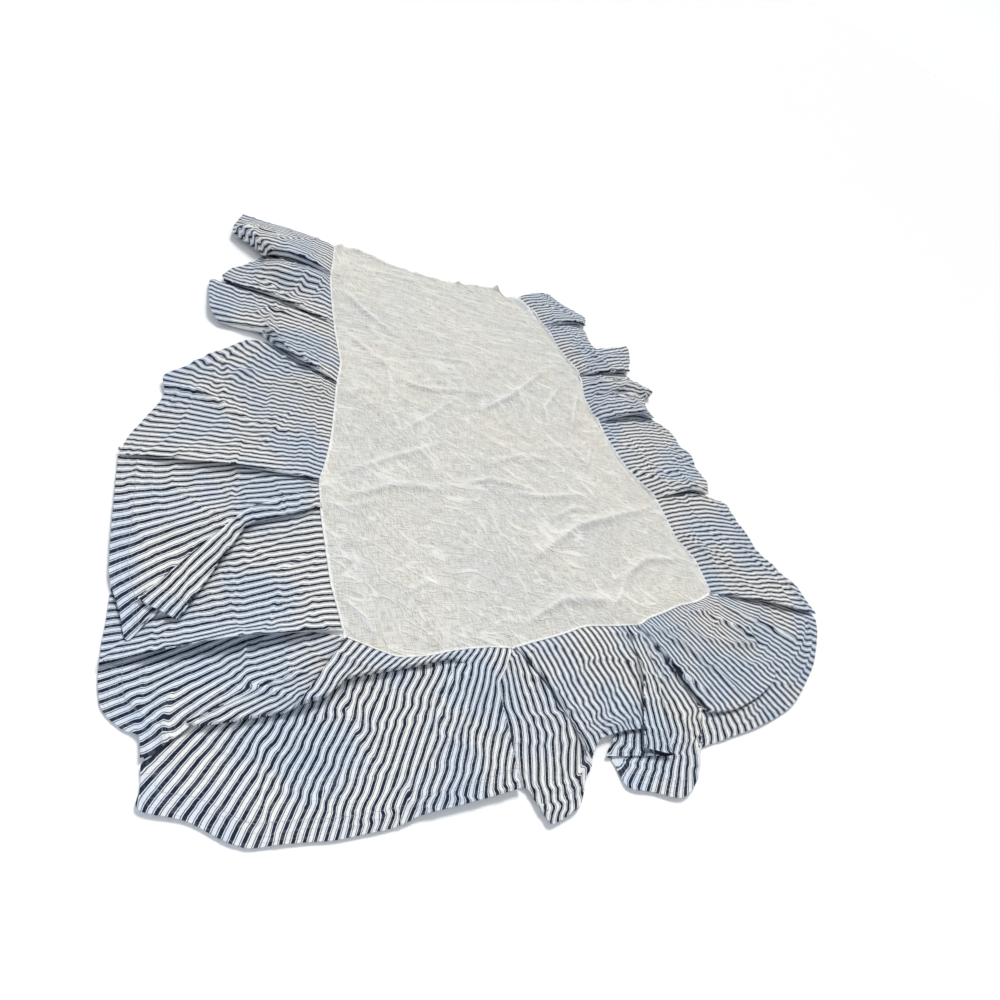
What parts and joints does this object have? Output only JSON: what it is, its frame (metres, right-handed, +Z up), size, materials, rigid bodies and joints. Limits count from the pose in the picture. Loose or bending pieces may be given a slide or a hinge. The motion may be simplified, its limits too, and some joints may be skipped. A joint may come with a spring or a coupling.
{
  "type": "bed skirt",
  "caption": "Thin platform cloth with a pleated striped skirt sewn along both sides and the foot, laid out loose on a floor.",
  "frame": {"origin": "underside of the platform cloth at its middle, on the floor", "axes": "+Z up, +Y towards the head end, +X to the right as seen from above with the head end away"},
  "size_m": [2.302, 2.535, 0.0655],
  "materials": {
    "muslin": "plain weave, unbleached",
    "ticking": "plain weave with woven navy stripes on off-white"
  },
  "bodies": {
    "root": {"deck": "muslin", "skirt_left": "ticking", "skirt_foot": "ticking", "skirt_right": "ticking"}
  },
  "joints": []
}
